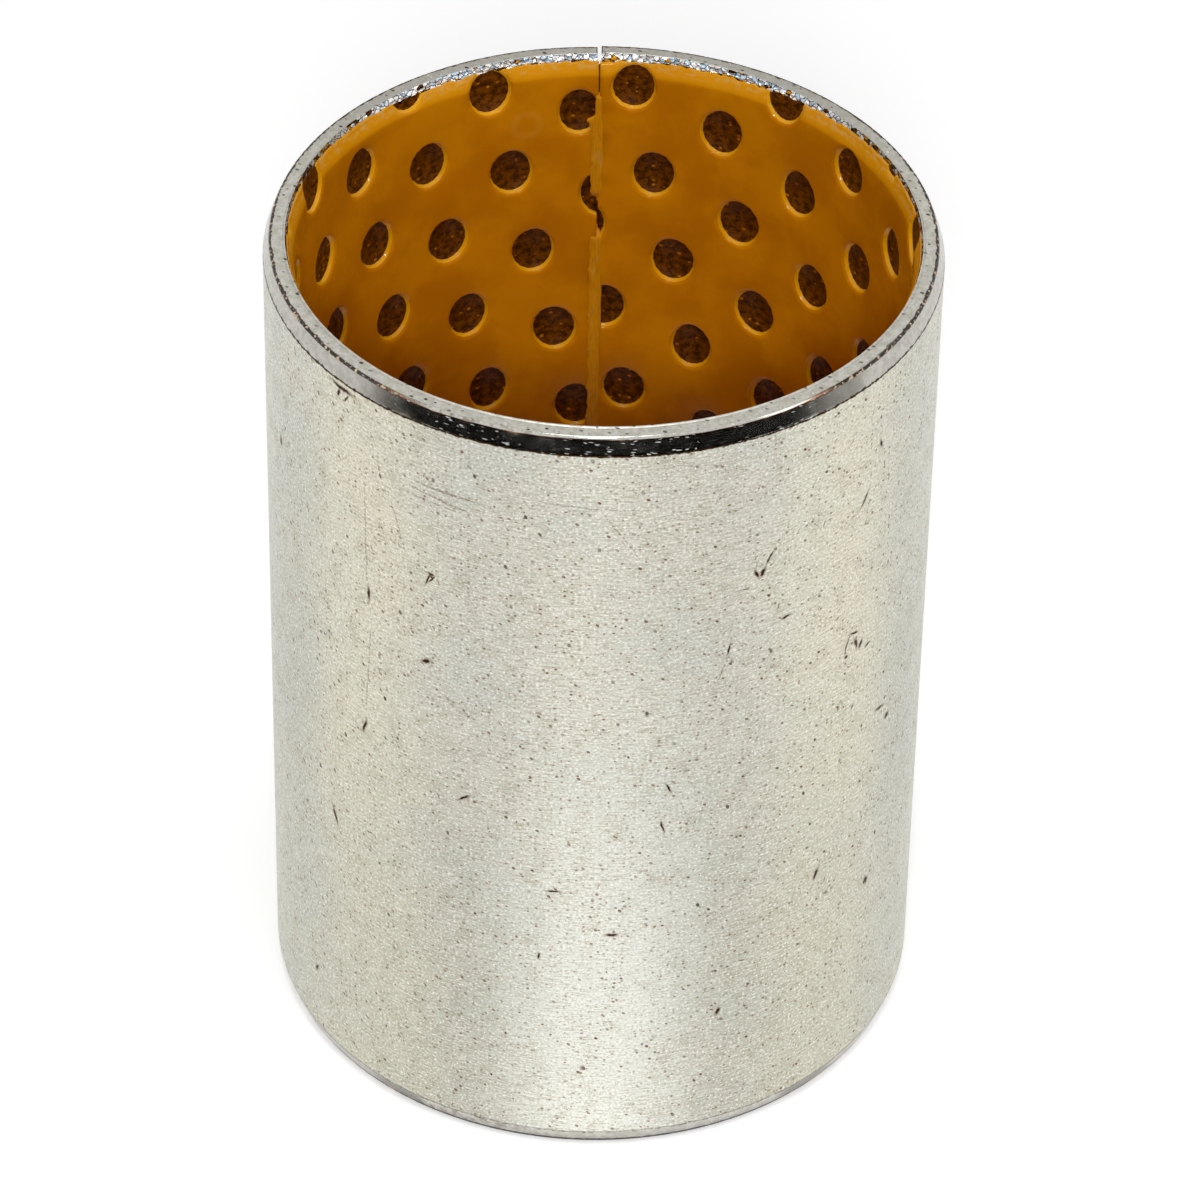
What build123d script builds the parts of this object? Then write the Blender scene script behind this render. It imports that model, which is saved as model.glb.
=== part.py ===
"""A split plain bushing, rolled from a three-layer strip.

The strip is steel, with a thin layer of sintered bronze on one side and an acetal lining on
the bronze. Oval pockets are pressed into the lining and hold grease. The strip is rolled
into a tube with the lining inside, and its two ends meet at a straight seam. The bushing
stands on one end face, with its axis on Z and its seam on the +Y side.
"""

import os
from math import ceil, cos, pi, radians, sin, tan

from build123d import *

# Driving dimensions, in millimetres and degrees.
bore_diameter = 40.0
length = 60.0

lining_thickness = 0.45
bronze_thickness = 0.25
steel_thickness = 1.3

outer_chamfer_length = 1.2
outer_chamfer_angle = 20.0
lead_in_length = 1.1
lead_in_depth = 0.4

seam_gap = 0.2

pocket_width = 2.75
pocket_height = 3.35
pocket_floor_film = 0.1
pocket_row_pitch = 6.62
pocket_row_slope = 23.1
pocket_column_pitch = 7.03
pocket_column_slope = 77.7
first_pocket_from_seam = 2.28
first_pocket_from_end = 2.36

# A pocket is cut with a small flat-sided punch, which keeps some two hundred of them light.
pocket_sides = 8

# Radii of the layers, from the shaft outwards.
bore_radius = bore_diameter / 2
lining_back_radius = bore_radius + lining_thickness
bronze_back_radius = lining_back_radius + bronze_thickness
outer_radius = bronze_back_radius + steel_thickness
outer_chamfer_depth = outer_chamfer_length * tan(radians(outer_chamfer_angle))


def clip_to_layer(inner_radius, outer_radius):
    """Keep the part of the wall section that lies between two radii."""
    with Locations(((inner_radius + outer_radius) / 2, length / 2)):
        Rectangle(outer_radius - inner_radius, length, mode=Mode.INTERSECT)


def pocket_corners():
    """The corners of the pocket punch, a regular polygon drawn out along the bushing."""
    reach = 0.5 / cos(pi / pocket_sides)
    turns = [2 * pi * (side + 0.5) / pocket_sides for side in range(pocket_sides)]
    return [
        (pocket_width * reach * cos(turn), pocket_height * reach * sin(turn))
        for turn in turns
    ]


def pocket_floor(around, height):
    """The plane of one pocket's floor, facing the shaft, with its Y along the bushing."""
    angle = radians(90 - 360 * around / (pi * bore_diameter))
    outward = Vector(cos(angle), sin(angle), 0)
    return Plane(
        origin=outward * (lining_back_radius - pocket_floor_film) + Vector(0, 0, height),
        x_dir=(-sin(angle), cos(angle), 0),
        z_dir=-outward,
    )


def pocket_floors():
    """The floor planes of all the pockets whose centres fall on the strip.

    The pockets are pressed into the flat strip in a slanting lattice, which starts beside
    the seam, near the upper end. The strip's edges cut it wherever they fall.
    """
    strip_length = pi * bore_diameter
    row_step = pocket_row_pitch * cos(radians(pocket_row_slope))
    row_fall = pocket_row_pitch * sin(radians(pocket_row_slope))
    column_step = pocket_column_pitch * cos(radians(pocket_column_slope))
    column_fall = pocket_column_pitch * sin(radians(pocket_column_slope))

    columns = ceil(strip_length / row_step)
    rows = ceil((length + columns * row_fall) / column_fall)
    floors = []
    for column in range(-columns, columns + 1):
        for row in range(-rows, rows + 1):
            around = first_pocket_from_seam + column * row_step + row * column_step
            down = first_pocket_from_end + column * row_fall + row * column_fall
            if 0 < around < strip_length and 0 < down < length:
                floors.append(pocket_floor(around, length - down))
    return floors


# Section of the whole wall, with the press-in chamfers outside and the lead-ins inside.
with BuildSketch(Plane.XZ) as wall_section:
    with BuildLine():
        Polyline(
            (bore_radius + lead_in_depth, 0),
            (outer_radius - outer_chamfer_depth, 0),
            (outer_radius, outer_chamfer_length),
            (outer_radius, length - outer_chamfer_length),
            (outer_radius - outer_chamfer_depth, length),
            (bore_radius + lead_in_depth, length),
            (bore_radius, length - lead_in_length),
            (bore_radius, lead_in_length),
            close=True,
        )
    make_face()

# Gap between the strip's two ends, on the +Y side.
with BuildPart() as seam_slot:
    with BuildSketch(Plane.XY):
        with Locations((0, outer_radius)):
            Rectangle(seam_gap, outer_radius)
    extrude(amount=length)

# Steel back: the outermost layer, which is pressed into the housing.
with BuildPart() as steel_back:
    with BuildSketch(Plane.XZ):
        add(wall_section.sketch)
        clip_to_layer(bronze_back_radius, outer_radius)
    revolve(axis=Axis.Z)
    add(seam_slot.part, mode=Mode.SUBTRACT)

# Sintered bronze: the layer that keys the lining to the steel.
with BuildPart() as bronze_layer:
    with BuildSketch(Plane.XZ):
        add(wall_section.sketch)
        clip_to_layer(lining_back_radius, bronze_back_radius)
    revolve(axis=Axis.Z)
    add(seam_slot.part, mode=Mode.SUBTRACT)

# Punch for one pocket, long enough to reach from its floor into the open bore.
with BuildPart() as pocket_punch:
    with BuildSketch(Plane.XY):
        Polygon(*pocket_corners())
    extrude(amount=2 * lining_thickness)

# Acetal lining: the running surface, with a thin film left at the floor of each pocket.
with BuildPart() as acetal_lining:
    with BuildSketch(Plane.XZ):
        add(wall_section.sketch)
        clip_to_layer(bore_radius, lining_back_radius)
    revolve(axis=Axis.Z)
    add(seam_slot.part, mode=Mode.SUBTRACT)
    with Locations(*pocket_floors()):
        add(pocket_punch.part, mode=Mode.SUBTRACT)

steel_back.part.label = "steel_back"
bronze_layer.part.label = "bronze_layer"
acetal_lining.part.label = "acetal_lining"

os.makedirs("parts", exist_ok=True)
export_step(steel_back.part, "parts/steel_back.step")
export_step(bronze_layer.part, "parts/bronze_layer.step")
export_step(acetal_lining.part, "parts/acetal_lining.step")
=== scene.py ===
"""A wrapped plain bushing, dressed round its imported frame.

Steel strip with a sintered bronze face and a pressed acetal lining is rolled into a tube. It
stands on one end, with its axis on Z and the joint of the strip at the back, on +Y.
"""

import math
import random

import bmesh
import bpy
from mathutils import Matrix, Vector, noise


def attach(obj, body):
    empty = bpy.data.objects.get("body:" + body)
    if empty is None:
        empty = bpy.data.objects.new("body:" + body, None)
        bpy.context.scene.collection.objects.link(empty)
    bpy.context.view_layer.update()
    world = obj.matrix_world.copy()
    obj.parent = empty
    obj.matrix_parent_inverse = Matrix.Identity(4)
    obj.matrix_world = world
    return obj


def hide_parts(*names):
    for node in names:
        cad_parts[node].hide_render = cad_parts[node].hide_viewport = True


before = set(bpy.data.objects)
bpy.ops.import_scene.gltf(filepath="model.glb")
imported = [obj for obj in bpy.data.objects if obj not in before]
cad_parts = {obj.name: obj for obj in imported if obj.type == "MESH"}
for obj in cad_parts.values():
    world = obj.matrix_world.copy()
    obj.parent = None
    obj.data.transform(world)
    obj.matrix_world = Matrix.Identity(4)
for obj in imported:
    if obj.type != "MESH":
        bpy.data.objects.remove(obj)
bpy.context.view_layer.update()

# ---- Steel back --------------------------------------------------------------------------
# The outer shell that is pressed into the housing: mild steel strip, tin plated, then rolled
# until its two ends nearly meet. Both outer corners are ground back to press-in chamfers,
# and the corner between chamfer and end face is worn round.
MM = 0.001
bush_length = 60.0
outer_radius = 22.0
bronze_back_radius = 20.7
chamfer_length = 1.2
chamfer_depth = chamfer_length * math.tan(math.radians(20))
end_radius = outer_radius - chamfer_depth
joint_gap = 0.2
# The spring of the strip opens the joint a little more at the top, with its left end low.
joint_gape = 0.04
left_end_drop = 0.07
joint_reach = 6
# How far the corners that are dressed by hand on a belt wander.
chamfer_wander = 0.035
end_wander = 0.0003
ring_steps = 720


def finish_piece(bm, name, materials, node=None):
    """Turn a finished bmesh into a piece that rides on the bush."""
    mesh = bpy.data.meshes.new(name)
    bm.to_mesh(mesh)
    bm.free()
    piece = bpy.data.objects.new(name, mesh)
    bpy.context.scene.collection.objects.link(piece)
    for material in materials:
        mesh.materials.append(material)
    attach(piece, "root")
    if node:
        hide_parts(node)
    return piece


def past_joint(co):
    """Arc length in millimetres from the joint at +Y, positive towards +X."""
    return math.atan2(co.x, co.y) * outer_radius


def shake(co, grain, seed):
    """A smooth random number from -1 to 1 that changes over grain millimetres."""
    return noise.noise(co / (grain * MM) + Vector((0, 0, 7.3 * seed)))


def spin_section(corners, steps):
    """Spin a wall section round Z from one side of the joint to the other.

    Each corner is a radius, a height, the radius it is rounded to, and the length that the
    side after it is held straight at each end.
    """
    bm = bmesh.new()
    outline = []
    rounded = []
    for corner, following in zip(corners, corners[1:] + corners[:1]):
        start, end = Vector(corner[:2]), Vector(following[:2])
        if corner[2]:
            rounded.append((len(outline), corner[2]))
        outline.append(start)
        if corner[3]:
            side = (end - start).normalized() * corner[3]
            outline += [start + side, end - side]
    verts = [bm.verts.new((p.x * MM, 0, p.y * MM)) for p in outline]
    bm.faces.new(verts)
    for index, radius in rounded:
        bmesh.ops.bevel(
            bm,
            geom=[verts[index]],
            offset=radius * MM,
            offset_type="OFFSET",
            segments=4,
            profile=0.5,
            affect="VERTICES",
            material=-1,
        )
    open_angle = joint_gap / 2 / outer_radius
    bmesh.ops.rotate(
        bm,
        verts=bm.verts[:],
        cent=(0, 0, 0),
        matrix=Matrix.Rotation(math.pi / 2 + open_angle, 3, "Z"),
    )
    bmesh.ops.spin(
        bm,
        geom=bm.verts[:] + bm.edges[:] + bm.faces[:],
        cent=(0, 0, 0),
        axis=(0, 0, 1),
        dvec=(0, 0, 0),
        angle=2 * (math.pi - open_angle),
        steps=steps,
        use_merge=False,
        use_duplicate=False,
    )
    bmesh.ops.recalc_face_normals(bm, faces=bm.faces[:])
    for face in bm.faces:
        face.smooth = len(face.verts) == 4
        if not face.smooth:
            for edge in face.edges:
                edge.smooth = False
    return bm


def held(share):
    """A share held between none and all."""
    return min(1.0, max(0.0, share))


def eased(share):
    """A share that starts and ends gently."""
    return share * share * (3 - 2 * share)


def open_joint(bm):
    """Let the joint gape a little more at the top, with its left end lower."""
    for vert in bm.verts:
        across = past_joint(vert.co)
        near = eased(held(1 - abs(across) / joint_reach))
        height = vert.co.z / MM
        opened = math.copysign(joint_gape * near * height / bush_length, across)
        vert.co = Matrix.Rotation(-opened / outer_radius, 3, "Z") @ vert.co
        if across < 0 and height > bush_length - 10:
            vert.co.z -= left_end_drop * MM * near


steel = spin_section(
    [
        (bronze_back_radius, 0, 0, 0.1),
        (end_radius, 0, 0.1, 0.25),
        (outer_radius, chamfer_length, 0.08, 0.3),
        (outer_radius, bush_length - chamfer_length, 0.08, 0.25),
        (end_radius, bush_length, 0.18, 0.1),
        (bronze_back_radius, bush_length, 0, 0.3),
    ],
    ring_steps,
)
open_joint(steel)
for vert in steel.verts:
    radius = vert.co.xy.length / MM
    height = vert.co.z / MM
    if abs(height - (bush_length - chamfer_length)) < 0.2 or abs(height - chamfer_length) < 0.2:
        wander = shake(vert.co, 2.2, 1) + 0.8 * shake(vert.co, 0.5, 2)
        vert.co.z += chamfer_wander * MM * wander
    if height > bush_length - 0.2 and radius > end_radius - 0.3:
        vert.co.xy *= 1 + end_wander * (shake(vert.co, 1.6, 3) + shake(vert.co, 0.4, 4))
# Its finishes after the wall's, in the order in which they are handed over below.
chamfer_finish = 1
end_finish = 2
for face in steel.faces:
    middle = face.calc_center_median()
    radius = middle.xy.length / MM
    from_end = min(middle.z, bush_length * MM - middle.z) / MM
    if not face.smooth or (from_end < chamfer_length - 0.03 and radius > end_radius - 0.1):
        face.material_index = chamfer_finish
    elif abs(face.normal.z) > 0.75:
        face.material_index = end_finish


def linear(hex_colour):
    """A linear RGBA colour from an sRGB hex value."""
    levels = [int(hex_colour[i : i + 2], 16) / 255 for i in (1, 3, 5)]
    return [v / 12.92 if v <= 0.04045 else ((v + 0.055) / 1.055) ** 2.4 for v in levels] + [1.0]


# Ranges ease in and out, mixes are of colours, and patterns lie flat on the unrolled strip.
usual_settings = {
    "MapRange": {"interpolation_type": "SMOOTHSTEP"},
    "Mix": {"data_type": "RGBA"},
    "TexNoise": {"noise_dimensions": "2D"},
    "TexVoronoi": {"voronoi_dimensions": "2D"},
}


def add_node(tree, kind, sockets=(), **settings):
    """Add a shader node, set it up, and link or set its sockets.

    Sockets are a dict by name or number, or a list from the first one on. A socket that is
    given a whole node takes that node's first output in use.
    """
    node = tree.nodes.new("ShaderNode" + kind)
    for name, value in {**usual_settings.get(kind, {}), **settings}.items():
        setattr(node, name, value)
    if not isinstance(sockets, dict):
        sockets = dict(enumerate(sockets))
    for socket, value in sockets.items():
        if isinstance(value, bpy.types.Node):
            value = next(output for output in value.outputs if output.enabled)
        if isinstance(value, bpy.types.NodeSocket):
            tree.links.new(value, node.inputs[socket])
        else:
            node.inputs[socket].default_value = value
    return node


def new_material(name):
    """A material with an empty node tree, and the tree."""
    material = bpy.data.materials.new(name)
    material.use_nodes = True
    material.node_tree.nodes.clear()
    return material, material.node_tree


def overlap(tree, *masks):
    """Where masks overlap: their product, each from 0 to 1."""
    both = masks[0]
    for mask in masks[1:]:
        both = add_node(tree, "Math", [both, mask], operation="MULTIPLY")
    return both


def strongest(tree, *masks):
    """The largest of several masks."""
    top = masks[0]
    for mask in masks[1:]:
        top = add_node(tree, "Math", [top, mask], operation="MAXIMUM")
    return top


def paint(tree, colour, *coats):
    """Lay coats over a hex colour: each is a mask and what shows where the mask is 1."""
    colour = linear(colour)
    for mask, coat in coats:
        coat = linear(coat) if isinstance(coat, str) else coat
        colour = add_node(tree, "Mix", {0: mask, 6: colour, 7: coat})
    return colour


def unrolled(tree, radius):
    """The place on the unrolled strip in millimetres: round from the front, and up."""
    place = add_node(tree, "TexCoord").outputs["Object"]
    axes = add_node(tree, "SeparateXYZ", [place]).outputs
    front = add_node(tree, "Math", [axes["Y"], -1.0], operation="MULTIPLY")
    turn = add_node(tree, "Math", [axes["X"], front], operation="ARCTAN2")
    around = add_node(tree, "Math", [turn, radius], operation="MULTIPLY")
    height = add_node(tree, "Math", [axes["Z"], 1 / MM], operation="MULTIPLY")
    return around, height, add_node(tree, "CombineXYZ", [around, height])


def from_mid_height(tree, height):
    """How far a height is from the middle of the bush, up or down."""
    above = add_node(tree, "Math", [height, bush_length / 2], operation="SUBTRACT")
    return add_node(tree, "Math", [above], operation="ABSOLUTE")


def grain(tree, place, length, width, lean=0.0, detail=3.0, roughness=0.6):
    """Cloudy noise whose patches have a length and a width in millimetres."""
    sockets = {"Vector": place, "Rotation": (0, 0, math.radians(lean))}
    sockets["Scale"] = (1 / length, 1 / width, 1)
    spread = add_node(tree, "Mapping", sockets)
    sockets = {"Vector": spread, "Scale": 1.0, "Detail": detail, "Roughness": roughness}
    return add_node(tree, "TexNoise", sockets)


def shift(tree, place, spacing, distance):
    """A place in millimetres, pushed about by up to a distance, to make patterns wander."""
    sockets = {"Vector": place, "Scale": 1 / spacing, "Detail": 2.0}
    push = add_node(tree, "TexNoise", sockets).outputs["Color"]
    either_way = add_node(tree, "VectorMath", [push, (0.5, 0.5, 0.5)], operation="SUBTRACT")
    sockets = [either_way, (2 * distance, 2 * distance, 0), place]
    return add_node(tree, "VectorMath", sockets, operation="MULTIPLY_ADD")


def specks(tree, place, spacing, half_width, share, stretch=1.3, lean=0.0, softness=0.4):
    """Scattered spots or dashes: one to a cell, in a share of the cells, sized at random.

    Spacing and half width are in millimetres. Stretch is how many times longer than wide a
    dash is, and lean turns it, in degrees.
    """
    sockets = {"Vector": place, "Rotation": (0, 0, math.radians(lean))}
    turned = add_node(tree, "Mapping", sockets)
    squeezed = add_node(tree, "VectorMath", [turned, (1 / stretch, 1, 1)], operation="MULTIPLY")
    cells = add_node(tree, "TexVoronoi", {"Vector": squeezed, "Scale": 1 / spacing}).outputs
    lot = add_node(tree, "SeparateColor", [cells["Color"]]).outputs
    reach = add_node(tree, "MapRange", [lot[0], 1 - share, 1, 0, half_width / spacing])
    inside = add_node(tree, "Math", [reach, cells["Distance"]], operation="SUBTRACT")
    # The soft edge is never quite nothing, so that it can be divided by.
    edge = strongest(tree, overlap(tree, reach, softness), 0.0001)
    mask = add_node(tree, "Math", [inside, edge], operation="DIVIDE", use_clamp=True)
    return overlap(tree, mask, add_node(tree, "MapRange", [lot[1], 0, 1, 0.45, 1]))


# Electroplated tin, satin and slightly oxidised: a warm off-white metal whose rolled brush
# lines run round the bush, so lights smear up and down it. Painted light is laid into its
# colour: a painted highlight low at the front and lighter, warmer bands on the flanks, and
# painted shade further round and towards the bottom. It has brown-stained pits, dashes and
# deep marks.
tin_plate, tree = new_material("brushed_tin_plate")
around, height, strip = unrolled(tree, outer_radius)
flank = add_node(tree, "Math", [around], operation="ABSOLUTE")
clouds = grain(tree, strip, 8, 9, detail=4)
smudges = grain(tree, strip, 1.7, 1.9, detail=5, roughness=0.65)
# Brush lines: 1.3 mm long and 0.1 mm apart, which is coarser than the real 0.03 mm grain.
loose = shift(tree, strip, 2.5, 0.25)
brush = grain(tree, loose, 1.3, 0.1, lean=1.5, detail=3, roughness=0.65)
# The crystals of the tin: a fine mottle, drawn at 0.2 mm so that it shows.
crystals = grain(tree, strip, 0.2, 0.16, detail=2, roughness=0.7)
# Painted highlight: lighter, warmer bands on both flanks.
warm_painted_highlight = overlap(
    tree,
    add_node(tree, "MapRange", [flank, 9, 15]),
    add_node(tree, "MapRange", [flank, 24, 19]),
    add_node(tree, "MapRange", [clouds, 0.3, 0.7, 0.6, 1]),
)
# Painted shade: darker on the far flanks and towards the bottom.
painted_shade = overlap(
    tree,
    add_node(tree, "MapRange", [flank, 17, 26]),
    add_node(tree, "MapRange", [height, 56, 25, 0.1, 0.5]),
)
painted_shade = strongest(tree, painted_shade, add_node(tree, "MapRange", [height, 50, 5, 0, 0.45]))
# Painted highlight: lighter low at the front.
front_painted_highlight = overlap(
    tree,
    add_node(tree, "MapRange", [flank, 9.5, 1.5]),
    add_node(tree, "MapRange", [height, 50, 10, 0, 0.7]),
)
brushed = overlap(
    tree,
    add_node(tree, "MapRange", [flank, 26, 10, 0.35, 1]),
    add_node(tree, "MapRange", [clouds, 0.3, 0.6, 0.4, 1]),
)
dark_lines = overlap(tree, add_node(tree, "MapRange", [brush, 0.5, 0.72, 0, 0.65]), brushed)
# Pits: faint ones 0.4 mm apart, brown ones 0.75 mm apart, and a few black ones.
dirty = add_node(tree, "MapRange", [smudges, 0.33, 0.58, 0.4, 1])
faint_pits = specks(tree, strip, 0.4, 0.09, 0.65, softness=0.25)
brown_pits = specks(tree, strip, 0.75, 0.115, 0.7, stretch=1.4, lean=40, softness=0.25)
black_pits = specks(tree, strip, 2.3, 0.14, 0.5, stretch=1.5, lean=70, softness=0.3)
# Dashes 0.4 to 1.2 mm long. They lean one way on the left flank and the other on the right.
bent = shift(tree, strip, 1.1, 0.35)
right_dashes = specks(tree, bent, 0.6, 0.05, 0.55, stretch=5, lean=-62)
left_dashes = specks(tree, bent, 0.6, 0.05, 0.55, stretch=5, lean=57)
flat_dashes = specks(tree, bent, 0.7, 0.045, 0.4, stretch=6, lean=6)
dashes = strongest(
    tree,
    overlap(tree, right_dashes, add_node(tree, "MapRange", [around, 2, 12])),
    overlap(tree, left_dashes, add_node(tree, "MapRange", [around, -4, -13])),
    overlap(tree, flat_dashes, brushed),
)


def nearest_mark(tree, place, marks):
    """How far the nearest mark is, where 1 is its edge.

    Each mark is a place round and up, a half length, a half width and a lean in degrees.
    """
    nearest = 9.0
    for mark_around, mark_height, half_length, half_width, lean in marks:
        sockets = {
            "Vector": place,
            "Location": (mark_around, mark_height, 0),
            "Rotation": (0, 0, math.radians(lean)),
            "Scale": (half_length, half_width, 1),
        }
        local = add_node(tree, "Mapping", sockets, vector_type="TEXTURE")
        spread = add_node(tree, "VectorMath", [local], operation="LENGTH")
        nearest = add_node(tree, "Math", [nearest, spread], operation="MINIMUM")
    return nearest


deep_marks = [
    (0.8, 19.1, 0.33, 0.12, -3), (21.2, 15.6, 0.27, 0.17, -80), (-27.3, 48.6, 0.35, 0.18, 86),
    (15.7, 19.7, 0.40, 0.12, 69), (8.2, 10.9, 0.26, 0.12, 73), (-11.8, 46.6, 0.50, 0.05, 70),
    (-11.5, 46.7, 0.36, 0.05, 55), (-11.6, 47.1, 0.22, 0.06, -15),
    (-17.1, 31.7, 0.48, 0.09, 71), (-9.2, 29.3, 0.42, 0.08, 37), (21.8, 30.3, 0.43, 0.10, -8),
    (-12.0, 39.8, 0.32, 0.13, 18), (-20.2, 22.0, 0.59, 0.10, -66), (9.9, 47.8, 0.35, 0.10, -77),
    (22.9, 28.9, 0.23, 0.16, 9), (-16.6, 43.1, 0.47, 0.10, -85), (-3.1, 22.7, 0.40, 0.08, 0),
    (-22.8, 6.4, 0.28, 0.12, 60), (20.3, 53.3, 0.28, 0.10, -66), (12.2, 43.4, 0.26, 0.10, 9),
    (18.8, 49.7, 0.49, 0.08, 56), (4.0, 28.2, 0.43, 0.06, -80), (-4.0, 16.9, 0.23, 0.09, 83),
    (8.1, 42.2, 0.41, 0.06, 77), (10.3, 47.8, 0.31, 0.12, 67), (10.8, 48.8, 0.48, 0.07, 59),
    (4.3, 31.5, 0.36, 0.07, -64), (18.6, 37.9, 0.40, 0.11, -70), (17.7, 38.3, 0.50, 0.06, 75),
    (18.3, 38.9, 0.35, 0.07, -12), (17.6, 37.3, 0.14, 0.11, 0), (19.1, 37.6, 0.28, 0.12, 70),
    (19.9, 37.0, 0.26, 0.07, 15), (-18.9, 58.3, 0.90, 0.13, -4), (-19.2, 57.8, 0.35, 0.09, 80),
    (-18.5, 57.7, 0.30, 0.07, 60),
]
rub_lines = [
    (-11.1, 53.3, 2.5, 0.09, -9), (-11.8, 52.9, 2.3, 0.06, -3), (-10.5, 54.0, 2.2, 0.12, -2),
    (-21.6, 40.2, 2.8, 0.05, -34), (-14.3, 50.6, 1.8, 0.05, -72), (-16.8, 47.3, 4.8, 0.06, -89),
    (-16.7, 36.6, 4.4, 0.05, 86), (0.8, 52.6, 2.4, 0.05, -57), (7.7, 40.5, 1.6, 0.05, 70),
    (-1.5, 54.7, 3.5, 0.04, -4),
]
ragged = shift(tree, shift(tree, strip, 0.9, 0.12), 0.2, 0.05)
near_mark = nearest_mark(tree, ragged, deep_marks)
near_rub = nearest_mark(tree, ragged, rub_lines)
rubbed = overlap(
    tree,
    add_node(tree, "MapRange", [near_rub, 1.3, 0.5]),
    add_node(tree, "MapRange", [crystals, 0.3, 0.6, 0.1, 0.6]),
)
# A dark broken line where the plating was ground through at each chamfer.
torn = grain(tree, strip, 0.35, 0.3)
chamfer_start = bush_length / 2 - chamfer_length
sockets = [chamfer_start, from_mid_height(tree, height)]
from_chamfer = add_node(tree, "Math", sockets, operation="SUBTRACT")
sockets = [overlap(tree, torn, 0.24), from_chamfer]
ground_through = add_node(tree, "Math", sockets, operation="SUBTRACT")
burnt = overlap(
    tree,
    add_node(tree, "MapRange", [ground_through, 0, 0.08]),
    add_node(tree, "MapRange", [height, 20, 40, 0.4, 1]),
)
brown = strongest(
    tree,
    overlap(tree, strongest(tree, brown_pits, dashes), dirty),
    rubbed,
    add_node(tree, "MapRange", [near_mark, 2.2, 0.8, 0, 0.6]),
)
gouges = add_node(tree, "MapRange", [near_mark, 1.25, 0.6])
colour = paint(
    tree,
    "#C8C8BD",
    (add_node(tree, "MapRange", [clouds, 0.35, 0.65]), "#CFCDBF"),
    (warm_painted_highlight, "#D9D5C0"),
    (painted_shade, "#A6A89B"),
    (front_painted_highlight, "#EEEFE7"),
    (add_node(tree, "MapRange", [smudges, 0.5, 0.75, 0, 0.35]), "#B1AD98"),
    (dark_lines, "#9C917A"),
    (add_node(tree, "MapRange", [brush, 0.47, 0.25, 0, 0.5]), "#F6F4EE"),
    (add_node(tree, "MapRange", [crystals, 0.54, 0.74, 0, 0.6]), "#9A917E"),
    (add_node(tree, "MapRange", [crystals, 0.45, 0.27, 0, 0.7]), "#FFFDF7"),
    (overlap(tree, faint_pits, dirty, 0.9), "#755325"),
    (overlap(tree, brown, 0.9), "#5E3A08"),
    (strongest(tree, overlap(tree, black_pits, 0.9), burnt, gouges), "#341E04"),
)
relief = add_node(tree, "Math", [overlap(tree, brush, 0.2), brown_pits], operation="SUBTRACT")
relief = add_node(tree, "Math", [relief, overlap(tree, crystals, 0.25)], operation="ADD")
bump = add_node(tree, "Bump", {"Height": relief, "Strength": 0.4, "Distance": 0.02 * MM})
surface = add_node(
    tree,
    "BsdfPrincipled",
    {
        "Base Color": colour,
        "Metallic": 1.0,
        "Roughness": add_node(tree, "MapRange", [smudges, 0.3, 0.7, 0.34, 0.44]),
        "Anisotropic": 0.75,
        "Anisotropic Rotation": 0.25,
        "Tangent": add_node(tree, "Tangent", direction_type="RADIAL", axis="Z"),
        "Normal": bump,
    },
)
add_node(tree, "OutputMaterial", {"Surface": surface})

# The chamfers, ground on a belt and flashed with tin: a glossier metal than the wall, which
# mirrors the dim end of the room in front. Belt scratches cut it with short bright lines.
ground_steel, tree = new_material("ground_and_tinned_chamfer")
around, height, strip = unrolled(tree, outer_radius)
on_side = add_node(tree, "Math", [around], operation="ABSOLUTE")
on_side = add_node(tree, "MapRange", [on_side, 11, 17])
streaks = grain(tree, strip, 0.8, 0.07, lean=5, detail=4, roughness=0.65)
tarnish = grain(tree, strip, 0.7, 0.6, detail=5, roughness=0.7)
torn = grain(tree, strip, 0.35, 0.3)
short_cuts = specks(tree, shift(tree, strip, 0.4, 0.1), 0.2, 0.042, 0.7, stretch=4, lean=4)
long_cuts = specks(tree, strip, 0.17, 0.03, 0.7, stretch=8, lean=3)
in_groups = add_node(tree, "MapRange", [grain(tree, strip, 3.0, 1.4, detail=1), 0.43, 0.53])
brown_film = overlap(
    tree,
    add_node(tree, "MapRange", [around, -3, -8]),
    add_node(tree, "MapRange", [around, -16, -12]),
    add_node(tree, "MapRange", [tarnish, 0.45, 0.6]),
    0.5,
)
# Painted shade: the chamfer is painted darker just beyond each side of the front, widening the
# dark band that mirrors the dim end of the room.
painted_shade_right = overlap(
    tree,
    add_node(tree, "MapRange", [around, 13, 14.5]),
    add_node(tree, "MapRange", [around, 19, 17]),
)
painted_shade_left = overlap(
    tree,
    add_node(tree, "MapRange", [around, -12, -13]),
    add_node(tree, "MapRange", [around, -18, -15]),
)
from_middle = from_mid_height(tree, height)
past_corner = add_node(tree, "Math", [from_middle, chamfer_start], operation="SUBTRACT")
sockets = [overlap(tree, torn, 0.3), past_corner]
low_edge = add_node(tree, "Math", sockets, operation="SUBTRACT")
low_edge = overlap(
    tree,
    add_node(tree, "MapRange", [low_edge, 0.04, 0.12]),
    add_node(tree, "MapRange", [tarnish, 0.38, 0.55]),
    0.9,
)
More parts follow.
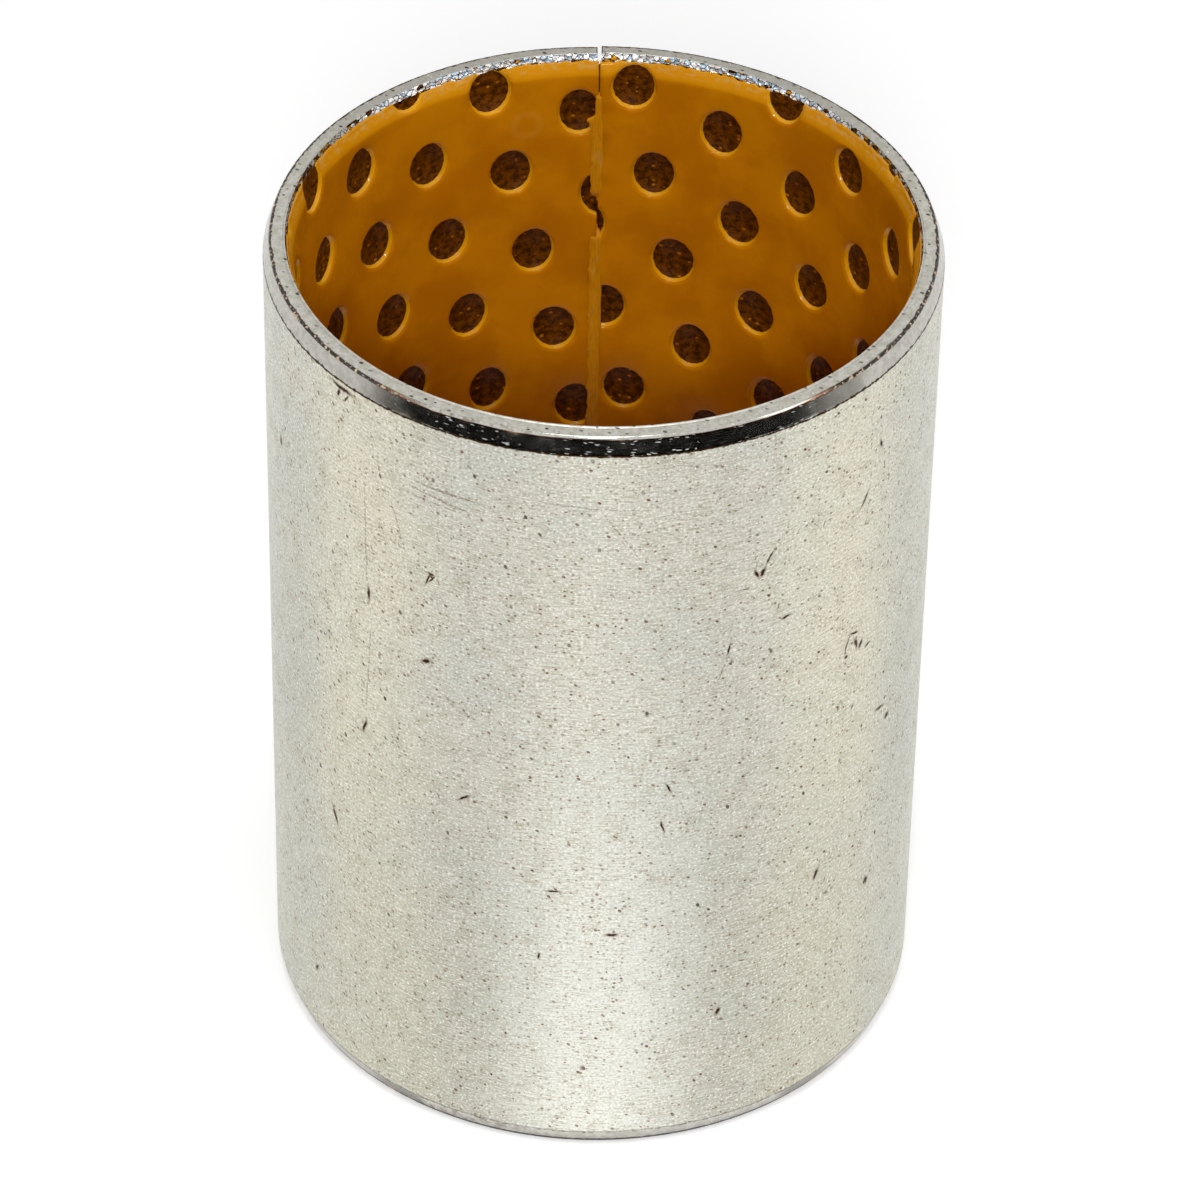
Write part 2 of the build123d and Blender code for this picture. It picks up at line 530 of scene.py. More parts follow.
# A thread of copper strike shows where the front corner with the end face is worn. On the
# flanks the thread is painted dark, as painted shade, with tan bits, and it is dark all along
# the foot.
high_edge = add_node(tree, "Math", [from_middle, bush_length / 2 - 0.26], operation="SUBTRACT")
high_edge = add_node(tree, "Math", [high_edge, overlap(tree, torn, 0.1)], operation="ADD")
at_foot = add_node(tree, "Math", [height, bush_length / 2], operation="LESS_THAN")
at_top = add_node(tree, "Math", [1.0, at_foot], operation="SUBTRACT")
dark_thread = strongest(tree, on_side, at_foot)
sockets = [high_edge, overlap(tree, on_side, at_top, 0.13)]
under = add_node(tree, "Math", sockets, operation="SUBTRACT")
above = add_node(tree, "Math", [high_edge, overlap(tree, dark_thread, 0.3)], operation="SUBTRACT")
thread = overlap(
    tree,
    add_node(tree, "MapRange", [under, 0, 0.05]),
    add_node(tree, "MapRange", [above, 0.16, 0.1]),
    0.93,
)
tan_bits = overlap(tree, on_side, add_node(tree, "MapRange", [torn, 0.54, 0.62]))
thread_colour = paint(tree, "#B98A68", (dark_thread, "#1E1710"), (tan_bits, "#C9B096"))
cuts = overlap(tree, strongest(tree, short_cuts, long_cuts), in_groups)
scuffs = add_node(tree, "MapRange", [streaks, 0.5, 0.72, 0, 0.13])
cuts = overlap(
    tree,
    strongest(tree, cuts, scuffs),
    add_node(tree, "MapRange", [on_side, 0, 1, 1, 0.2]),
)
metal = paint(
    tree,
    "#C6C4BB",
    (add_node(tree, "MapRange", [tarnish, 0.35, 0.65]), "#B4B1A7"),
    (add_node(tree, "MapRange", [streaks, 0.55, 0.75, 0, 0.25]), "#8B8479"),
    (brown_film, "#6E573C"),
    (overlap(tree, strongest(tree, painted_shade_right, painted_shade_left), 0.6), "#5C574D"),
    (low_edge, "#2B1F14"),
    (thread, thread_colour),
    (cuts, "#DDE0E0"),
)
bump = add_node(tree, "Bump", {"Height": streaks, "Strength": 0.1, "Distance": 0.01 * MM})
surface = add_node(
    tree,
    "BsdfPrincipled",
    {
        "Base Color": metal,
        "Metallic": add_node(tree, "MapRange", [cuts, 0, 0.6, 1, 0]),
        "Roughness": add_node(tree, "MapRange", [on_side, 0, 1, 0.1, 0.24]),
        "Normal": bump,
    },
)
add_node(tree, "OutputMaterial", {"Surface": surface})

# The same tin on the sheared end of the strip: greyer and matt, with small black pits and
# light rub marks. A dark broken line along its outer corner is painted shade, faint at the front.
tin_end, tree = new_material("tin_plated_end_face")
place = add_node(tree, "TexCoord").outputs["Object"]
onto_face = (1 / MM, 1 / MM, 0)
place = add_node(tree, "VectorMath", [place, onto_face], operation="MULTIPLY")
from_axis = add_node(tree, "VectorMath", [place], operation="LENGTH")
across, depth = add_node(tree, "SeparateXYZ", [place]).outputs[:2]
mottle = grain(tree, place, 0.6, 0.6, detail=5, roughness=0.65)
pits = specks(tree, place, 0.6, 0.12, 0.75, stretch=1.5, lean=30, softness=0.3)
rubs = specks(tree, place, 0.8, 0.09, 0.35, stretch=2.5, lean=75)
shears = grain(tree, place, 0.25, 0.22, detail=2)
rim = grain(tree, place, 0.45, 0.45)
# Painted shade: a dark broken line along the outer corner, faint at the front.
from_rim = add_node(tree, "Math", [end_radius - 0.1, from_axis], operation="SUBTRACT")
painted_rim_shade = add_node(tree, "Math", [overlap(tree, rim, 0.34), from_rim], operation="SUBTRACT")
painted_rim_shade = overlap(
    tree,
    add_node(tree, "MapRange", [painted_rim_shade, 0.08, 0.14, 0, 0.95]),
    add_node(tree, "MapRange", [depth, -17, -10, 0.1, 1]),
)
from_gap = add_node(tree, "Math", [across], operation="ABSOLUTE")
by_gap = overlap(
    tree,
    add_node(tree, "MapRange", [from_gap, 0.26, 0.17, 0, 0.85]),
    add_node(tree, "MapRange", [depth, 0, 1]),
)
# The face is darker towards the back, by the joint.
face_metal = paint(
    tree,
    "#C1BFB6",
    (add_node(tree, "MapRange", [mottle, 0.35, 0.65]), "#ADAA9F"),
    (add_node(tree, "MapRange", [depth, 4, 17, 0, 0.55]), "#8F8C84"),
    (add_node(tree, "MapRange", [shears, 0.5, 0.75, 0, 0.4]), "#8E8A80"),
    (overlap(tree, rubs, 0.6), "#E6E4DE"),
    (strongest(tree, pits, painted_rim_shade, by_gap), "#33291F"),
)
relief = add_node(tree, "Math", [mottle, pits], operation="SUBTRACT")
bump = add_node(tree, "Bump", {"Height": relief, "Strength": 0.4, "Distance": 0.03 * MM})
surface = add_node(
    tree,
    "BsdfPrincipled",
    {
        "Base Color": face_metal,
        "Metallic": 1.0,
        "Roughness": add_node(tree, "MapRange", [mottle, 0.3, 0.7, 0.36, 0.5]),
        "Normal": bump,
    },
)
add_node(tree, "OutputMaterial", {"Surface": surface})

finish_piece(
    steel,
    "tinned_steel_back",
    [tin_plate, ground_steel, tin_end],
    "steel_back",
)

# ---- Sintered bronze ---------------------------------------------------------------------
# A quarter of a millimetre of bronze powder, sintered to the steel and tinned over at its
# ends. Trimming the strip tears its inner corner, widest by the joint, into a rough bright
# burr of bronze and tin that stands above the lining.
bronze_front_radius = 20.45
burr_drop = 0.5
burr_foot = bush_length - burr_drop
burr_corner = bronze_back_radius - 0.03
burr_rows = 6
# The burr's width at the sides of the bush, and how far it is roughened at the front.
burr_width = 0.12
burr_lift = 0.06
burr_slope = [
    (
        bronze_front_radius + (burr_corner - bronze_front_radius) * k / burr_rows,
        burr_foot + burr_drop * k / burr_rows,
        0,
        0,
    )
    for k in range(burr_rows + 1)
]
lower_slope = [(radius, bush_length - height, 0, 0) for radius, height, *rest in burr_slope]
bronze_back = [(bronze_back_radius, 0, 0, 0), (bronze_back_radius, bush_length, 0, 0)]
bronze = spin_section(lower_slope + bronze_back + burr_slope[::-1], 2 * ring_steps)
open_joint(bronze)


def tearing(to_joint):
    """How badly an end is torn, from not at all round to the sides to all by the joint."""
    return held((to_joint - 0.45) / 0.4)


for vert in bronze.verts:
    radius = vert.co.xy.length / MM
    from_end = min(vert.co.z, bush_length * MM - vert.co.z) / MM
    if from_end > burr_drop + 0.1 or radius > burr_corner + 0.01:
        continue
    # At the front the burr is narrow, and the tinned face reaches nearly to the lining.
    to_joint = vert.co.y / vert.co.xy.length
    by_joint = tearing(to_joint)
    width = burr_width + burr_width * to_joint
    across = max(0.0, (radius - bronze_front_radius) / (burr_corner - bronze_front_radius))
    new_radius = bronze_front_radius + across * width
    rough = shake(vert.co, 0.5, 5) + 0.9 * shake(vert.co, 0.22, 6)
    crest = math.sin(math.pi * min(1.0, 0.15 + 0.8 * across))
    lift = (burr_lift + 0.05 * by_joint) * rough * crest
    vert.co.xy *= (new_radius - 0.7 * lift) / radius
    if across < 0.99:
        end = math.copysign(1, vert.co.z - bush_length * MM / 2)
        vert.co.z += (0.7 * lift + 0.5 * from_end * (1 - by_joint)) * end * MM
tinned_finish = 1
for face in bronze.faces:
    middle = face.calc_center_median()
    from_end = min(middle.z, bush_length * MM - middle.z) / MM
    if from_end < 0.01:
        face.material_index = tinned_finish
    elif from_end < burr_drop + 0.2:
        face.smooth = False

# Torn bronze and tin, in flat flecks about 0.25 mm across: by the joint white tin lies on
# top, parted by thin black cracks, with gold bronze under it; the flanks are darker.
torn_metal, tree = new_material("torn_bronze_and_tin")
around, height, strip = unrolled(tree, bronze_front_radius)
drawn_out = add_node(tree, "VectorMath", [strip, (0.7, 1, 1)], operation="MULTIPLY")
sockets = {"Vector": shift(tree, drawn_out, 0.4, 0.1), "Scale": 1 / 0.28}
cells = add_node(tree, "TexVoronoi", sockets)
lot = add_node(tree, "SeparateColor", [cells.outputs["Color"]]).outputs
crack = add_node(tree, "TexVoronoi", sockets, feature="DISTANCE_TO_EDGE")
from_front = add_node(tree, "Math", [around], operation="ABSOLUTE")
beside = add_node(tree, "MapRange", [from_front, 52, 40])
sockets = [from_mid_height(tree, height), bush_length / 2 - 0.32, bush_length / 2 - 0.46]
lower = add_node(tree, "MapRange", sockets)
golden = strongest(tree, overlap(tree, lower, 0.75), 0.08, overlap(tree, beside, 0.6))
white = add_node(tree, "Math", [lot[0], golden], operation="GREATER_THAN")
tin_fleck = paint(
    tree,
    "#F6F6F4",
    (add_node(tree, "MapRange", [lot[2], 0.55, 0.7]), "#BCD2E4"),
    (beside, "#918D82"),
)
flecks = paint(
    tree,
    "#B8801E",
    (add_node(tree, "MapRange", [lot[1], 0.4, 0.6]), "#4A3210"),
    (overlap(tree, beside, 0.5), "#2A1E0E"),
    (white, tin_fleck),
    (add_node(tree, "MapRange", [crack, 0.1, 0.03]), "#1A1610"),
)
surface = add_node(
    tree,
    "BsdfPrincipled",
    {
        "Base Color": flecks,
        "Metallic": add_node(tree, "Math", [1.0, overlap(tree, white, 0.6)], operation="SUBTRACT"),
        "Roughness": 0.25,
    },
)
add_node(tree, "OutputMaterial", {"Surface": surface})
finish_piece(bronze, "bronze_interlayer", [torn_metal, tin_end], "bronze_layer")

# ---- Acetal lining -----------------------------------------------------------------------
# The running surface: amber acetal, rolled hot into the bronze, with oval grease pockets
# pressed in a slanting lattice while the strip was flat. The strip was then cut to length
# across the pockets wherever they fell, rolled up, and flared at both ends.
bore_radius = 20.0
lining_back_radius = 20.455
lining_trim = 0.45
strip_length = 2 * math.pi * bore_radius
# The lattice was pressed from both ends of the strip, and the two runs of rows meet with a
# slight change of pitch: each is the first pocket, the step along a row and down a column.
start_lattice = (Vector((2.295, 57.72)), Vector((6.131, -2.554)), Vector((1.468, -6.949)))
end_lattice = (Vector((0.398, 53.62)), Vector((6.199, -2.369)), Vector((1.55, -6.768)))
row_step = (start_lattice[1] + end_lattice[1]) / 2
column_step = (start_lattice[2] + end_lattice[2]) / 2
# A pocket's rings, from the blank surface to its floor: beyond the floor's edge, and depth.
floor_half_width = 1.38
floor_half_height = 1.66
pocket_rings = [(0.44, 0.0), (0.26, 0.03), (0.14, 0.12), (0.05, 0.25), (0.0, 0.35)]
# A punch marks the strip while its middle is less than this past the cut end.
punch_reach = 1.3
# Along each side of a pocket's six-sided blank.
side_points = 3
blank_reach = 4
half_joint = 0.04
floor_finish = 1
lip_finish = 2
lip_depth = 0.13


def circumcentre(p, q):
    """The point that is as far from p and q as from the origin."""
    twice_area = 2 * (p.x * q.y - p.y * q.x)
    x = (q.y * p.length_squared - p.y * q.length_squared) / twice_area
    y = (p.x * q.length_squared - q.x * p.length_squared) / twice_area
    return Vector((x, y))


def pocket_centre(row, column):
    """The middle of a pocket on the flat strip, eased from one lattice to the other."""
    start = start_lattice[0] + row * start_lattice[1] + column * start_lattice[2]
    end = end_lattice[0] + row * end_lattice[1] + column * end_lattice[2]
    return start.lerp(end, eased(held((start.x + end.x) / 2 / strip_length)))


neighbours = [row_step, row_step - column_step, -column_step]
neighbours += [-step for step in neighbours]
corner_steps = [(0, 0), (1, 0), (1, -1), (0, -1), (-1, 0), (-1, 1), (0, 1)]
corners = [circumcentre(neighbours[i], neighbours[(i + 1) % 6]) for i in range(6)]

chance = random.Random(5)
lining = bmesh.new()


def cell_corner(row, column, index):
    """A corner of a pocket's blank, shared with the two pockets beyond it."""
    near = [(0, 0), corner_steps[index + 1], corner_steps[(index + 1) % 6 + 1]]
    middle = sum((pocket_centre(row + i, column + j) for i, j in near), Vector((0, 0))) / 3
    even = sum((i * row_step + j * column_step for i, j in near), Vector((0, 0))) / 3
    return middle + corners[index] - even


for row in range(-16, 40):
    for column in range(-30, 16):
        centre = pocket_centre(row, column)
        on_strip = -blank_reach < centre.x < strip_length + blank_reach
        if not on_strip or not -blank_reach < centre.y < bush_length + blank_reach:
            continue
        edge = [cell_corner(row, column, i) for i in range(6)]
        outline = []
        for start, end in zip(edge, edge[1:] + edge[:1]):
            outline += [start.lerp(end, k / side_points) for k in range(side_points)]
        bearings = [math.atan2(p.y - centre.y, p.x - centre.x) for p in outline]
        verts = [lining.verts.new((p * MM).to_3d()) for p in outline]
        face = lining.faces.new(verts)
        past_end = max(-centre.x, centre.x - strip_length, 0)
        pressed = 1.0 if past_end < punch_reach else 0.0
        squash = chance.uniform(-0.03, 0.03)
        swing = chance.uniform(0, math.pi)
        grow = chance.uniform(0.98, 1.02)
        for beyond, ring_depth in pocket_rings:
            face = bmesh.ops.extrude_discrete_faces(lining, faces=[face])["faces"][0]
            for vert, bearing in zip(face.verts, bearings):
                off_round = 1 + squash * math.cos(2 * (bearing - swing))
                off_round += 0.012 * math.sin(3 * bearing + 5 * swing)
                spread = grow * off_round * MM
                sideways = (floor_half_width + beyond) * spread * math.cos(bearing)
                upwards = (floor_half_height + beyond) * spread * math.sin(bearing)
                vert.co.x = centre.x * MM + sideways
                vert.co.y = centre.y * MM + upwards
                vert.co.z = -ring_depth * pressed * MM
        if pressed:
            face.material_index = floor_finish
bmesh.ops.remove_doubles(lining, verts=lining.verts[:], dist=0.001 * MM)
for face in lining.faces:
    face.smooth = True


def slice_flat(bm, geom, along, at, cut_off=0):
    """Cut flat geometry across x or y at a place in millimetres, and drop one side."""
    normal = Vector((1, 0, 0)) if along == "x" else Vector((0, 1, 0))
    if cut_off < 0:
        normal.negate()
    return bmesh.ops.bisect_plane(
        bm,
        geom=geom,
        dist=0.0005 * MM,
        plane_co=(at * MM, at * MM, 0),
        plane_no=normal,
        clear_outer=cut_off != 0,
    )


def everything(bm):
    """All the verts, edges and faces of a bmesh."""
    return bm.verts[:] + bm.edges[:] + bm.faces[:]


def slice_band(bm, faces, step):
    """Cut a band of faces across x every step millimetres."""
    band = set(faces)
    for place in range(1, int(strip_length / step)):
        at = place * step
        near = [
            face
            for face in band
            if face.is_valid
            and min(v.co.x for v in face.verts) < at * MM < max(v.co.x for v in face.verts)
        ]
        edges = {edge for face in near for edge in face.edges}
        verts = {vert for face in near for vert in face.verts}
        cut = slice_flat(bm, list(verts) + list(edges) + near, "x", at)
        band |= {g for g in cut["geom"] if isinstance(g, bmesh.types.BMFace)}


# The steep inner lips of the pockets get the lip finish, which is painted lighter as a painted
# highlight.
for face in lining.faces:
    if face.material_index == 0 and min(v.co.z for v in face.verts) < -lip_depth * MM:
        face.material_index = lip_finish
slice_flat(lining, everything(lining), "x", half_joint, -1)
slice_flat(lining, everything(lining), "x", strip_length - half_joint, 1)
slice_flat(lining, everything(lining), "y", lining_trim, -1)
slice_flat(lining, everything(lining), "y", bush_length - lining_trim, 1)
flare_length = 1.5
flare_depth = 0.41
torn_length = 0.55
for from_end in (flare_length, 1.3, 1.1, 0.9, 0.7, torn_length):
    for at in (from_end, bush_length - from_end):
        slice_flat(lining, everything(lining), "y", at)
flare_foot = (bush_length - flare_length) * MM
slice_band(lining, [f for f in lining.faces if f.calc_center_median().y > flare_foot], 0.4)
torn_foot = (bush_length - torn_length) * MM
slice_band(lining, [f for f in lining.faces if f.calc_center_median().y > torn_foot], 0.133)

rim = [e for e in lining.edges if e.is_boundary]
wall = bmesh.ops.extrude_edge_only(lining, edges=rim)["geom"]
for vert in [g for g in wall if isinstance(g, bmesh.types.BMVert)]:
    vert.co.z = -(lining_back_radius - bore_radius) * MM
for face in [g for g in wall if isinstance(g, bmesh.types.BMFace)]:
    face.smooth = False
back_rim = [e for e in lining.edges if e.is_boundary]
back = bmesh.ops.holes_fill(lining, edges=back_rim, sides=0)["faces"]
slice_band(lining, back, 1.5)


def roll_up(co):
    """Take a point of the flat strip, with the shaft side up, to its place in the tube."""
    angle = math.pi / 2 - co.x / (bore_radius * MM)
    radius = bore_radius * MM - co.z
    return Vector((radius * math.cos(angle), radius * math.sin(angle), co.y))


def flared(from_end):
    """How far the flare opens the bore, in millimetres, at a distance from the end."""
    into_flare = max(0.0, flare_length - from_end) / (flare_length - lining_trim)
    return flare_depth * into_flare**1.35


layer = lining_back_radius - bore_radius
for vert in lining.verts:
    height = vert.co.y / MM
    from_end = min(height, bush_length - height)
    depth = -vert.co.z / MM
    depth += flared(from_end) * max(0.0, 1 - depth / layer)
    vert.co.z = -depth * MM
    if from_end < lining_trim + 0.03:
        # Trimming has torn the edge of the lining ragged, most of all by the joint.
        by_joint = tearing(math.cos(vert.co.x / (bore_radius * MM)))
        ragged = (0.06 + 0.1 * by_joint) * (shake(vert.co, 1.1, 8) + shake(vert.co, 0.4, 9))
        end = math.copysign(1, height - bush_length / 2)
        vert.co.y += (ragged + 0.2 * (1 - by_joint)) * end * MM
    vert.co = roll_up(vert.co)
bmesh.ops.recalc_face_normals(lining, faces=lining.faces[:])

# Acetal, natural amber, calendered smooth: an opaque satin plastic that takes small glints.
# The flare is painted lighter and yellower, a painted highlight where it tilts up towards the
# lamps, and is smeared with tan at its torn edge. Something that once dried on it near the
# joint has left a faint ring.
amber, tree = new_material("amber_acetal")
height, strip = unrolled(tree, bore_radius)[1:]
haze = grain(tree, strip, 6, 6, detail=4)
smears = grain(tree, strip, 0.6, 0.3, lean=10, detail=4)
smears = overlap(
    tree,
    add_node(tree, "MapRange", [smears, 0.48, 0.62]),
    add_node(tree, "MapRange", [height, 58.8, 59.3, 0, 0.45]),
)
ring_place = (4.9 - math.pi * bore_radius, 55.0, 0)
from_ring = add_node(tree, "VectorMath", [strip, ring_place], operation="DISTANCE")
from_ring = add_node(tree, "Math", [from_ring, 0.9], operation="SUBTRACT")
from_ring = add_node(tree, "Math", [from_ring], operation="ABSOLUTE")
# Painted highlight: the flare band is painted lighter and yellower.
shade = paint(
    tree,
    "#DA8B07",
    (add_node(tree, "MapRange", [haze, 0.35, 0.65]), "#CA7B05"),
    (add_node(tree, "MapRange", [height, 58.4, 58.8, 0, 0.55]), "#F0A60E"),
    (smears, "#DDB268"),
    (add_node(tree, "MapRange", [from_ring, 0.4, 0.05, 0, 0.12]), "#E0AC50"),
)
orange_peel = grain(tree, strip, 0.9, 0.9)
bump = add_node(tree, "Bump", {"Height": orange_peel, "Strength": 0.2, "Distance": 0.03 * MM})
surface = add_node(
    tree,
    "BsdfPrincipled",
    {
        "Base Color": shade,
        "Roughness": 0.17,
        "IOR": 1.48,
        "Specular IOR Level": 0.16,
        "Specular Tint": linear("#FFE0A8"),
        "Normal": bump,
    },
)
add_node(tree, "OutputMaterial", {"Surface": surface})

# The lips of the pockets: the same acetal, glossier, and painted lighter and yellower, a
# painted highlight where they curve up towards the lamps.
lip, tree = new_material("glossy_acetal_lip_painted_lighter")
sockets = {"Base Color": linear("#EDA812"), "Roughness": 0.12, "IOR": 1.48}
sockets["Specular IOR Level"] = 0.18
surface = add_node(tree, "BsdfPrincipled", sockets)
add_node(tree, "OutputMaterial", {"Surface": surface})

# Sintered bronze seen through the thin film of acetal at the floor of a pocket: dark brown,
# blotched, with grains that shine orange.
pocket_floor, tree = new_material("bronze_under_acetal_film")
strip = unrolled(tree, bore_radius)[2]
mud = grain(tree, strip, 0.5, 0.45, detail=5, roughness=0.7)
grains = grain(tree, strip, 0.22, 0.2, detail=2)
shade = paint(
    tree,
    "#3E1D02",
    (add_node(tree, "MapRange", [mud, 0.35, 0.65]), "#744004"),
    (specks(tree, strip, 0.5, 0.13, 0.35), "#C97A10"),
)
bump = add_node(tree, "Bump", {"Height": grains, "Strength": 0.6, "Distance": 0.06 * MM})
surface = add_node(
    tree,
    "BsdfPrincipled",
    {
        "Base Color": shade,
        "Roughness": 0.45,
        "IOR": 1.48,
        "Specular IOR Level": 0.07,
        "Normal": bump,
    },
)
add_node(tree, "OutputMaterial", {"Surface": surface})
finish_piece(
    lining,
    "acetal_lining_pressed",
    [amber, pocket_floor, lip],
    "acetal_lining",
)

# ---- Flash along the joint ---------------------------------------------------------------
# When the tube was closed, a thread of warm acetal was squeezed out of the joint and wiped
# flat. It bridges the gap below the top two and a half millimetres, laps the pockets that
# the joint cuts, and has one break, where a cut pocket shows.
flash_ends = (0.8, 59.2)
flash_pitch = 0.15
flash_left = 0.4
flash_right = 0.28
flash_rise = 0.07
flash_open_from = 57.5
flash_full_below = 55.4
flash_break = (45.9, 48.5)
flash_taper = 0.6
# Lumps that lap a cut pocket: height, spread, and how far each reaches.
flash_lumps = [(55.05, 0.22, 0.4), (54.5, 0.2, 0.2)]
# Across the flash: share of its width, and share of its rise above the lining.
flash_foot = -2.5
flash_profile = [
    (0.0, flash_foot),
    (0.0, 0.0),
    (0.04, 0.6),
    (0.15, 1.0),
    (0.35, 0.95),
    (0.6, 0.6),
    (0.85, 0.15),
    (1.0, -0.4),
    (1.0, flash_foot),
]
flash = bmesh.new()
section = [flash.verts.new((0, 0, 0)) for point in flash_profile]
face = flash.faces.new(section)
rows = int((flash_ends[1] - flash_ends[0]) / flash_pitch)
for step in range(rows + 1):
    height = flash_ends[0] + step * flash_pitch
    spot = Vector((0, 0, height * MM))
    if step:
        face = bmesh.ops.extrude_discrete_faces(flash, faces=[face])["faces"][0]
    # Above the bridged stretch, and at the break, only a sunk thread is left in the joint.
    to_gap = max(flash_break[0] - height, height - flash_break[1])
    fill = held(min(flash_open_from - height, to_gap) / flash_taper)
    wide = 0.35 + 0.65 * held((flash_full_below - height) / flash_taper)
    left = 0.05 + (flash_left + 0.15 * shake(spot, 0.9, 11) + 0.09 * shake(spot, 0.35, 12)) * wide
    for lump_height, spread, reach in flash_lumps:
        left += reach * math.exp(-(((height - lump_height) / spread) ** 2))
    right = 0.05 + flash_right * (0.4 + 0.6 * wide) + 0.1 * shake(spot, 1.6, 13)
    rise = flash_rise * fill * (1 + 0.5 * shake(spot, 0.7, 14))
    base = -flared(bush_length - height) - 0.3 * (1 - fill)
    left, right = -0.05 - fill**0.5 * left, 0.05 + fill**0.5 * right
    for vert, (across, lift) in zip(face.verts, flash_profile):
        vert.co = Vector((left + across * (right - left), height, base + lift * rise)) * MM
        if lift == flash_foot:
            vert.co.z = (base - 0.15) * MM
bmesh.ops.holes_fill(flash, edges=[e for e in flash.edges if e.is_boundary], sides=0)
# Where only the sunk thread is left, above the bridged stretch and at the break, it takes the dark
# finish of the pocket floors: painted shade in the narrow joint.
for face in flash.faces:
    height = face.calc_center_median().y / MM
    if height > flash_open_from - 0.3 or flash_break[0] + 0.3 < height < flash_break[1] - 0.3:
        face.material_index = floor_finish
for vert in flash.verts:
    vert.co = roll_up(vert.co)
bmesh.ops.recalc_face_normals(flash, faces=flash.faces[:])
for face in flash.faces:
    face.smooth = len(face.verts) == 4

# Wiped acetal: the same plastic, a little paler where it was dragged, with a few tan patches.
wiped, tree = new_material("wiped_acetal")
strip = unrolled(tree, bore_radius)[2]
drag = grain(tree, strip, 0.5, 2.2, detail=3)
threads = grain(tree, strip, 0.12, 1.2, detail=3)
shade = paint(
    tree,
    "#DD9510",
    (add_node(tree, "MapRange", [threads, 0.4, 0.65]), "#CE880A"),
    (add_node(tree, "MapRange", [drag, 0.58, 0.7, 0, 0.5]), "#DDA848"),
)
bump = add_node(tree, "Bump", {"Height": threads, "Strength": 0.25, "Distance": 0.03 * MM})
surface = add_node(
    tree,
    "BsdfPrincipled",
    {
        "Base Color": shade,
        "Roughness": 0.3,
        "IOR": 1.48,
        "Specular IOR Level": 0.15,
        "Normal": bump,
    },
)
add_node(tree, "OutputMaterial", {"Surface": surface})
finish_piece(flash, "joint_flash", [wiped, pocket_floor])

# ---- Studio ------------------------------------------------------------------------------
# A white table and a white room with soft lamps. Far in front of the bush the room is dim
# just above the table, which only gloss can see.
bpy.context.scene.view_settings.view_transform = "Standard"


def stand_sheet(name, material, size, turn, place):
    """A flat sheet of the studio, laid or stood in place."""
    bm = bmesh.new()
    bmesh.ops.create_grid(bm, x_segments=1, y_segments=1, size=0.5)
    bmesh.ops.scale(bm, vec=(size[0], size[1], 1), verts=bm.verts[:])
    tilt = Matrix.Rotation(turn, 3, "X")
    bmesh.ops.rotate(bm, cent=(0, 0, 0), verts=bm.verts[:], matrix=tilt)
    bmesh.ops.translate(bm, vec=place, verts=bm.verts[:])
    mesh = bpy.data.meshes.new(name)
    bm.to_mesh(mesh)
    bm.free()
    mesh.materials.append(material)
    sheet = bpy.data.objects.new(name, mesh)
    bpy.context.scene.collection.objects.link(sheet)
    return sheet


def seen(tree):
    """One where the eye or a mirror looks straight at the room, so that it stays white."""
    path = add_node(tree, "LightPath").outputs
    mirrored = strongest(tree, path["Is Glossy Ray"], path["Is Transmission Ray"])
    return strongest(tree, path["Is Camera Ray"], mirrored)


# White laminate, as the table of a light tent has: matt, and lit enough to look white.
white_table, tree = new_material("white_laminate")
laminate = add_node(tree, "BsdfDiffuse", {"Color": linear("#FAFAFA")})
sockets = {"Color": linear("#FFFFFF"), "Strength": overlap(tree, seen(tree), 0.36)}
lift = add_node(tree, "Emission", sockets)
both = add_node(tree, "AddShader", [laminate, lift])
add_node(tree, "OutputMaterial", {"Surface": both})
stand_sheet("table_top", white_table, (6, 6), 0, (0, 0, -0.02 * MM))

# Black felt on the dim end of the room: the chamfers mirror it, and it lights nothing.
black_felt, tree = new_material("black_felt")
felt = add_node(tree, "BsdfDiffuse", {"Color": linear("#060606")})
add_node(tree, "OutputMaterial", {"Surface": felt})
dim_end = stand_sheet("dim_end_of_room", black_felt, (1.9, 0.1), math.pi / 2, (0, -0.26, 0.036))
dim_end.visible_camera = False
dim_end.visible_diffuse = False
dim_end.visible_shadow = False

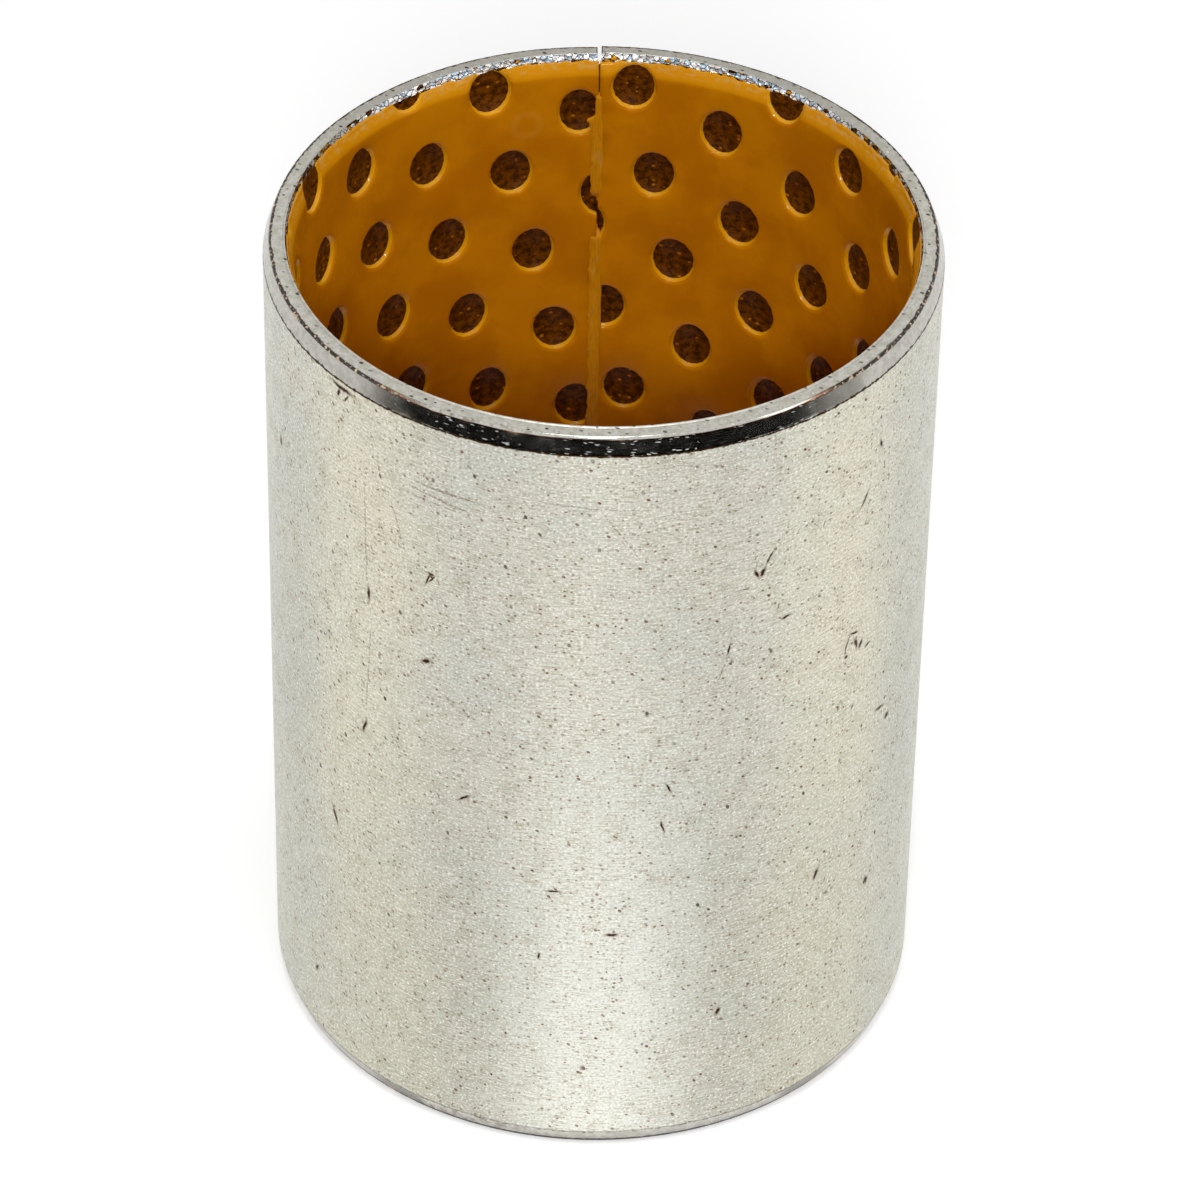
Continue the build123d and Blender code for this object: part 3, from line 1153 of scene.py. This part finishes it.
world = bpy.data.worlds.new("white_room")
bpy.context.scene.world = world
world.use_nodes = True
tree = world.node_tree
tree.nodes.clear()
strength = add_node(tree, "MapRange", [seen(tree), 0, 1, 0.22, 1])
room = add_node(tree, "Background", {"Color": linear("#FFFFFF"), "Strength": strength})
add_node(tree, "OutputWorld", {"Surface": room})


def hang_lamp(name, azimuth, elevation, distance, size, power):
    """A softbox that points at the bush, from degrees round to the right and up."""
    lamp = bpy.data.lights.new(name, "AREA")
    lamp.size = size
    lamp.energy = power
    turn = math.radians(azimuth)
    rise = math.radians(elevation)
    flat = math.cos(rise)
    way = Vector((math.sin(turn) * flat, -math.cos(turn) * flat, math.sin(rise)))
    holder = bpy.data.objects.new(name, lamp)
    middle = Vector((0, 0, 0.03))
    holder.location = middle + distance * way
    holder.rotation_euler = (-way).to_track_quat("-Z", "Y").to_euler()
    bpy.context.scene.collection.objects.link(holder)


hang_lamp("front_key", -2, 35, 0.9, 0.12, 2.9)
hang_lamp("overhead_softbox", 0, 85, 0.9, 0.25, 2.5)
hang_lamp("right_softbox", 64, 20, 0.85, 0.4, 0.68)
hang_lamp("left_softbox", -80, 20, 0.85, 0.4, 0.16)

# The camera looks down into the bore from the front, a little right of the joint's line.
camera_data = bpy.data.cameras.new("camera")
camera_data.sensor_width = 36
camera_data.lens = 190.34
camera_data.clip_start = 0.01
camera_data.clip_end = 20
camera = bpy.data.objects.new("camera", camera_data)
bpy.context.scene.collection.objects.link(camera)
bpy.context.scene.camera = camera
swing = math.radians(1.46)
yaw = math.radians(0.031)
pitch = math.radians(38.957)
roll = math.radians(1.098)
aim = Vector((math.sin(yaw) * math.cos(pitch), math.cos(yaw) * math.cos(pitch), -math.sin(pitch)))
level = Vector((math.cos(yaw), -math.sin(yaw), 0))
up = level.cross(aim)
right = math.cos(roll) * level + math.sin(roll) * up
up = -math.sin(roll) * level + math.cos(roll) * up
turned = Matrix.Rotation(-swing, 3, "Z")
axes = turned @ Matrix((right, up, -aim)).transposed()
eye = turned @ Vector((0, -0.33267, 0.29861))
camera.matrix_world = Matrix.Translation(eye) @ axes.to_4x4()
